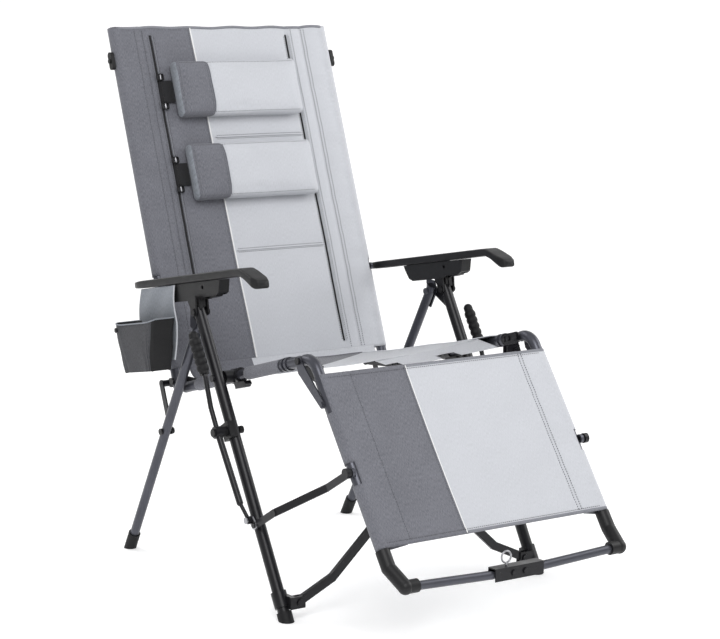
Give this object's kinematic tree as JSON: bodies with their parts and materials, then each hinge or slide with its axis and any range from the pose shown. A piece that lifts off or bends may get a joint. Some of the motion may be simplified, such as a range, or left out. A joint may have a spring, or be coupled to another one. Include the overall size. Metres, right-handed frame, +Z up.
{
  "type": "zero gravity recliner",
  "caption": "Folding zero gravity recliner with a steel tube frame, two-tone padded fabric slings, two strapped pillows, plastic armrests with locks and a side pouch",
  "frame": {"origin": "on the floor, under the middle of the overall box", "axes": "+X right seen from the front, -Y forward, +Z up"},
  "size_m": [0.7336, 1.0928, 1.1313],
  "materials": {
    "frame_paint": "satin",
    "black_paint": "satin",
    "black_plastic": "matte",
    "black_rubber": "matte",
    "steel": "satin",
    "sling_fabric": "matte",
    "pillow_fabric": "matte",
    "webbing": "matte"
  },
  "bodies": {
    "frame": {"front_leg_l": "frame_paint", "front_leg_r": "frame_paint", "front_foot_l": "black_rubber", "front_foot_r": "black_rubber", "rear_leg_l": "frame_paint", "rear_leg_r": "frame_paint", "rear_foot_l": "black_rubber", "rear_foot_r": "black_rubber", "apex_plate_l": "steel", "apex_plate_r": "steel", "seat_tube_l": "frame_paint", "seat_tube_r": "frame_paint", "seat_clamp_l": "black_paint", "seat_clamp_r": "black_paint", "hip_bracket_l": "black_paint", "hip_bracket_r": "black_paint", "rear_link_l": "black_paint", "rear_link_r": "black_paint", "lever_block_l": "black_plastic", "lever_block_r": "black_plastic", "brace_foot_l": "black_paint", "brace_foot_r": "black_paint", "knee_bracket_l": "black_paint", "knee_bracket_r": "black_paint", "brace_bar_a": "black_paint", "brace_bar_b": "black_paint", "seat_sling": "sling_fabric"},
    "back": {"back_tube_l": "frame_paint", "back_tube_r": "frame_paint", "back_lug_l": "black_plastic", "back_lug_r": "black_plastic", "back_sling": "sling_fabric"},
    "head": {"head_pillow": "pillow_fabric", "head_strap": "webbing"},
    "lumbar": {"lumbar_pillow": "pillow_fabric", "lumbar_strap": "webbing"},
    "legrest": {"legrest_tube_l": "frame_paint", "legrest_tube_r": "frame_paint", "foot_elbow_l": "black_plastic", "foot_elbow_r": "black_plastic", "foot_bar_l": "frame_paint", "foot_bar_r": "frame_paint", "foot_bracket": "black_paint", "legrest_sling": "sling_fabric"},
    "ring": {"pull_ring": "steel"},
    "lock_l": {"lock_housing_l": "black_plastic"},
    "arm_l": {"armrest_l": "black_plastic", "side_pouch": "sling_fabric"},
    "release_l": {"release_lever_l": "black_plastic"},
    "lever_l": {"hand_lever_l": "frame_paint", "lever_grip_l": "black_rubber"},
    "link_l": {"link_plate_l": "steel", "leg_link_l": "frame_paint"},
    "lock_r": {"lock_housing_r": "black_plastic"},
    "arm_r": {"armrest_r": "black_plastic"},
    "release_r": {"release_lever_r": "black_plastic"},
    "lever_r": {"hand_lever_r": "frame_paint", "lever_grip_r": "black_rubber"},
    "link_r": {"link_plate_r": "steel", "leg_link_r": "frame_paint"}
  },
  "joints": [
    {"name": "recline", "type": "hinge", "parent": "frame", "child": "back", "pos_m": [0.00955, 0.2749, 0.39451], "axis": [-1, 0, 0], "range_deg": [0, 24]},
    {"name": "leg_rest", "type": "hinge", "parent": "frame", "child": "legrest", "pos_m": [0.00955, -0.21401, 0.5052], "axis": [-1, 0, 0], "range_deg": [-10, 30]},
    {"name": "head_slide", "type": "slide", "parent": "back", "child": "head", "axis": [0, 0.3338, 0.9426], "range_m": [-0.025, 0.055]},
    {"name": "lumbar_slide", "type": "slide", "parent": "back", "child": "lumbar", "axis": [0, 0.3338, 0.9426], "range_m": [-0.12, 0.025]},
    {"name": "ring_pull", "type": "slide", "parent": "legrest", "child": "ring", "axis": [0, 0, 1], "range_m": [0, 0.006], "stiffness_N_per_m": 300, "springref_m": -0.004},
    {"name": "lock_tilt_l", "type": "hinge", "parent": "frame", "child": "lock_l", "pos_m": [-0.30045, 0.09964, 0.566], "axis": [-1, 0, 0], "range_deg": [0, 5.74]},
    {"name": "arm_slide_l", "type": "slide", "parent": "lock_l", "child": "arm_l", "axis": [0, -0.9863, 0.165], "range_m": [-0.0778, 0]},
    {"name": "release_l", "type": "hinge", "parent": "lock_l", "child": "release_l", "pos_m": [-0.29245, 0.08389, 0.6173], "axis": [-1, 0, 0], "range_deg": [0, 6], "stiffness_Nm_per_rad": 0.5, "springref_deg": -11.46},
    {"name": "lever_turn_l", "type": "hinge", "parent": "frame", "child": "lever_l", "pos_m": [-0.33545, -0.02306, 0.3431], "axis": [-1, 0, 0], "range_deg": [-13, 38.8]},
    {"name": "link_turn_l", "type": "hinge", "parent": "lever_l", "child": "link_l", "pos_m": [-0.32045, -0.12406, 0.1851], "axis": [-1, 0, 0], "range_deg": [-35.05, 11.75]},
    {"name": "lock_tilt_r", "type": "hinge", "parent": "frame", "child": "lock_r", "pos_m": [0.31955, 0.09964, 0.566], "axis": [-1, 0, 0], "range_deg": [0, 5.74]},
    {"name": "arm_slide_r", "type": "slide", "parent": "lock_r", "child": "arm_r", "axis": [0, -0.9863, 0.165], "range_m": [-0.0778, 0]},
    {"name": "release_r", "type": "hinge", "parent": "lock_r", "child": "release_r", "pos_m": [0.31155, 0.08389, 0.6173], "axis": [-1, 0, 0], "range_deg": [0, 6], "stiffness_Nm_per_rad": 0.5, "springref_deg": -11.46},
    {"name": "lever_turn_r", "type": "hinge", "parent": "frame", "child": "lever_r", "pos_m": [0.35455, -0.02306, 0.3431], "axis": [-1, 0, 0], "range_deg": [-13, 38.8]},
    {"name": "link_turn_r", "type": "hinge", "parent": "lever_r", "child": "link_r", "pos_m": [0.33955, -0.12406, 0.1851], "axis": [-1, 0, 0], "range_deg": [-35.05, 11.75]}
  ],
  "couplings": [
    {"joint": "lock_tilt_l", "follows": "recline", "ratio": 0.235},
    {"joint": "arm_slide_l", "follows": "recline", "m_per_rad": -0.1845},
    {"joint": "lever_turn_l", "follows": "leg_rest", "ratio": 1.29},
    {"joint": "link_turn_l", "follows": "leg_rest", "ratio": -1.165},
    {"joint": "lock_tilt_r", "follows": "recline", "ratio": 0.235},
    {"joint": "arm_slide_r", "follows": "recline", "m_per_rad": -0.1845},
    {"joint": "lever_turn_r", "follows": "leg_rest", "ratio": 1.29},
    {"joint": "link_turn_r", "follows": "leg_rest", "ratio": -1.165}
  ]
}
